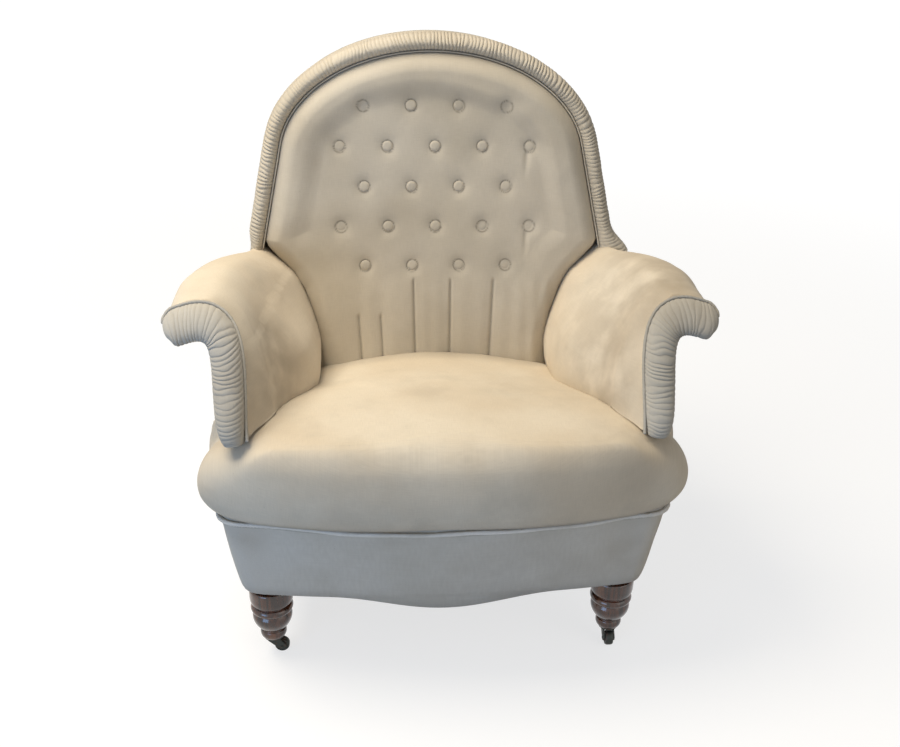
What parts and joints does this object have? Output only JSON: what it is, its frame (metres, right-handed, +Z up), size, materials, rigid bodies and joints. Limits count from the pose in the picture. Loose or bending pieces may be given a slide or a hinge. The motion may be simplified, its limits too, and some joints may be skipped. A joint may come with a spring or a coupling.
{
  "type": "armchair",
  "caption": "Low-seated upholstered armchair in a plain cotton undercover, with an arched buttoned back, scrolled arms, turned front legs and small castors.",
  "frame": {"origin": "on the floor, at the middle of the chair's box in plan", "axes": "+Z up, -Y the way that a sitter faces, +X to the chair's right side as seen from the front"},
  "size_m": [0.78, 0.6668, 0.8743],
  "materials": {
    "back_pad": "matt unbleached cotton, creased and lightly stained",
    "back_border": "matt unbleached cotton, creased and lightly stained",
    "outside_back": "matt unbleached cotton, creased and lightly stained",
    "seat_pad": "matt unbleached cotton, creased and lightly stained",
    "front_border": "matt unbleached cotton, creased and lightly stained",
    "back_button_1": "matt unbleached cotton, creased and lightly stained",
    "back_button_2": "matt unbleached cotton, creased and lightly stained",
    "back_button_3": "matt unbleached cotton, creased and lightly stained",
    "back_button_4": "matt unbleached cotton, creased and lightly stained",
    "back_button_5": "matt unbleached cotton, creased and lightly stained",
    "back_button_6": "matt unbleached cotton, creased and lightly stained",
    "back_button_7": "matt unbleached cotton, creased and lightly stained",
    "back_button_8": "matt unbleached cotton, creased and lightly stained",
    "back_button_9": "matt unbleached cotton, creased and lightly stained",
    "back_button_10": "matt unbleached cotton, creased and lightly stained",
    "back_button_11": "matt unbleached cotton, creased and lightly stained",
    "back_button_12": "matt unbleached cotton, creased and lightly stained",
    "back_button_13": "matt unbleached cotton, creased and lightly stained",
    "back_button_14": "matt unbleached cotton, creased and lightly stained",
    "back_button_15": "matt unbleached cotton, creased and lightly stained",
    "back_button_16": "matt unbleached cotton, creased and lightly stained",
    "back_button_17": "matt unbleached cotton, creased and lightly stained",
    "back_button_18": "matt unbleached cotton, creased and lightly stained",
    "back_button_19": "matt unbleached cotton, creased and lightly stained",
    "back_button_20": "matt unbleached cotton, creased and lightly stained",
    "back_button_21": "matt unbleached cotton, creased and lightly stained",
    "back_button_22": "matt unbleached cotton, creased and lightly stained",
    "left_arm_pad": "matt unbleached cotton, creased and lightly stained",
    "left_arm_facing": "matt unbleached cotton, creased and lightly stained",
    "left_outside_arm": "matt unbleached cotton, creased and lightly stained",
    "right_arm_pad": "matt unbleached cotton, creased and lightly stained",
    "right_arm_facing": "matt unbleached cotton, creased and lightly stained",
    "right_outside_arm": "matt unbleached cotton, creased and lightly stained",
    "front_seat_rail": "sawn, unfinished",
    "back_seat_rail": "sawn, unfinished",
    "back_hoop": "sawn, unfinished",
    "left_seat_rail": "sawn, unfinished",
    "right_seat_rail": "sawn, unfinished",
    "left_front_leg": "polished, worn",
    "left_back_leg": "polished, worn",
    "right_front_leg": "polished, worn",
    "right_back_leg": "polished, worn",
    "left_arm_frame": "dark, dull",
    "left_castor_plate": "dark, dull",
    "right_arm_frame": "dark, dull",
    "right_castor_plate": "dark, dull",
    "left_castor_horn": "dark, dull",
    "right_castor_horn": "dark, dull",
    "left_castor_wheel": "dark, dull",
    "right_castor_wheel": "dark, dull",
    "seat_spring_1": "drawn wire, dull",
    "seat_spring_2": "drawn wire, dull",
    "seat_spring_3": "drawn wire, dull",
    "seat_spring_4": "drawn wire, dull",
    "seat_spring_5": "drawn wire, dull",
    "seat_spring_6": "drawn wire, dull",
    "seat_spring_7": "drawn wire, dull",
    "seat_spring_8": "drawn wire, dull",
    "seat_spring_9": "drawn wire, dull",
    "seat_webbing": "woven jute"
  },
  "bodies": {
    "chair": {"back_pad": "back_pad", "back_border": "back_border", "outside_back": "outside_back", "seat_pad": "seat_pad", "front_border": "front_border", "back_button_1": "back_button_1", "back_button_2": "back_button_2", "back_button_3": "back_button_3", "back_button_4": "back_button_4", "back_button_5": "back_button_5", "back_button_6": "back_button_6", "back_button_7": "back_button_7", "back_button_8": "back_button_8", "back_button_9": "back_button_9", "back_button_10": "back_button_10", "back_button_11": "back_button_11", "back_button_12": "back_button_12", "back_button_13": "back_button_13", "back_button_14": "back_button_14", "back_button_15": "back_button_15", "back_button_16": "back_button_16", "back_button_17": "back_button_17", "back_button_18": "back_button_18", "back_button_19": "back_button_19", "back_button_20": "back_button_20", "back_button_21": "back_button_21", "back_button_22": "back_button_22", "left_arm_pad": "left_arm_pad", "left_arm_facing": "left_arm_facing", "left_outside_arm": "left_outside_arm", "right_arm_pad": "right_arm_pad", "right_arm_facing": "right_arm_facing", "right_outside_arm": "right_outside_arm", "front_seat_rail": "front_seat_rail", "back_seat_rail": "back_seat_rail", "back_hoop": "back_hoop", "left_seat_rail": "left_seat_rail", "right_seat_rail": "right_seat_rail", "left_front_leg": "left_front_leg", "left_back_leg": "left_back_leg", "right_front_leg": "right_front_leg", "right_back_leg": "right_back_leg", "left_arm_frame": "left_arm_frame", "left_castor_plate": "left_castor_plate", "right_arm_frame": "right_arm_frame", "right_castor_plate": "right_castor_plate", "seat_spring_1": "seat_spring_1", "seat_spring_2": "seat_spring_2", "seat_spring_3": "seat_spring_3", "seat_spring_4": "seat_spring_4", "seat_spring_5": "seat_spring_5", "seat_spring_6": "seat_spring_6", "seat_spring_7": "seat_spring_7", "seat_spring_8": "seat_spring_8", "seat_spring_9": "seat_spring_9", "seat_webbing": "seat_webbing"},
    "left_castor_horn": {"left_castor_horn": "left_castor_horn"},
    "left_castor_wheel": {"left_castor_wheel": "left_castor_wheel"},
    "right_castor_horn": {"right_castor_horn": "right_castor_horn"},
    "right_castor_wheel": {"right_castor_wheel": "right_castor_wheel"}
  },
  "joints": [
    {"name": "left_castor_swivel", "type": "hinge", "parent": "chair", "child": "left_castor_horn", "pos_m": [-0.265, -0.21752, 0.0275], "axis": [0, 0, 1], "continuous": true},
    {"name": "left_castor_wheel_turn", "type": "hinge", "parent": "left_castor_horn", "child": "left_castor_wheel", "pos_m": [-0.253, -0.21752, 0.0115], "axis": [0, 1, 0], "continuous": true},
    {"name": "right_castor_swivel", "type": "hinge", "parent": "chair", "child": "right_castor_horn", "pos_m": [0.265, -0.21752, 0.0275], "axis": [0, 0, 1], "continuous": true},
    {"name": "right_castor_wheel_turn", "type": "hinge", "parent": "right_castor_horn", "child": "right_castor_wheel", "pos_m": [0.265, -0.22952, 0.0115], "axis": [1, 0, 0], "continuous": true}
  ]
}
